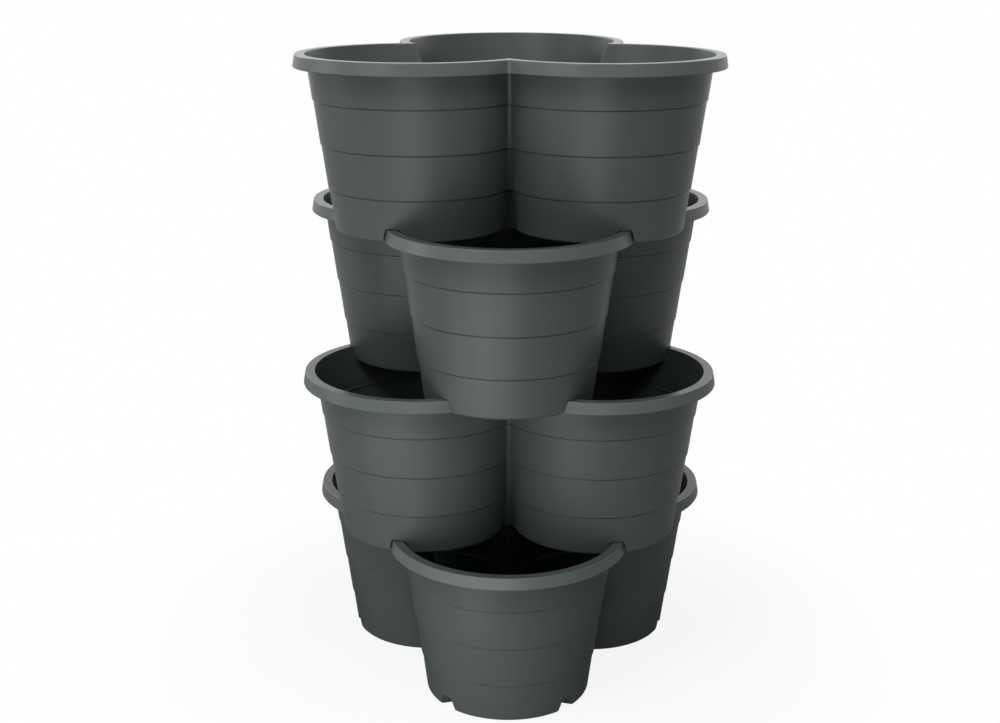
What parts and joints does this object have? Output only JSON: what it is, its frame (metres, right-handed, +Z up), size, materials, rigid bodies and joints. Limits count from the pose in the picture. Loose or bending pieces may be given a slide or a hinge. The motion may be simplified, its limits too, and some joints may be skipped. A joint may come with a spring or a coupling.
{
  "type": "vertical planter tower",
  "caption": "Tower of stacked three-lobed plastic planters, each turned half a lobe from the one below so that every lobe stays open for planting.",
  "frame": {"origin": "on the ground, in the middle of the bottom planter's base, under the axis of the stack", "axes": "+Z up along the axis of the stack; -Y to the front, where a lobe of the bottom planter points; +X to the right seen from the front"},
  "size_m": [0.38, 0.405, 0.5846],
  "materials": {
    "planter_plastic": "satin slate-grey injection-moulded polypropylene"
  },
  "bodies": {
    "bottom": {"bottom_planter": "planter_plastic"},
    "second": {"second_planter": "planter_plastic"},
    "third": {"third_planter": "planter_plastic"},
    "top": {"top_planter": "planter_plastic"}
  },
  "joints": [
    {"name": "second_lift", "type": "slide", "parent": "bottom", "child": "second", "axis": [0, 0, 1], "range_m": [0, 0.05]},
    {"name": "third_lift", "type": "slide", "parent": "second", "child": "third", "axis": [0, 0, 1], "range_m": [0, 0.05]},
    {"name": "top_lift", "type": "slide", "parent": "third", "child": "top", "axis": [0, 0, 1], "range_m": [0, 0.05]}
  ]
}
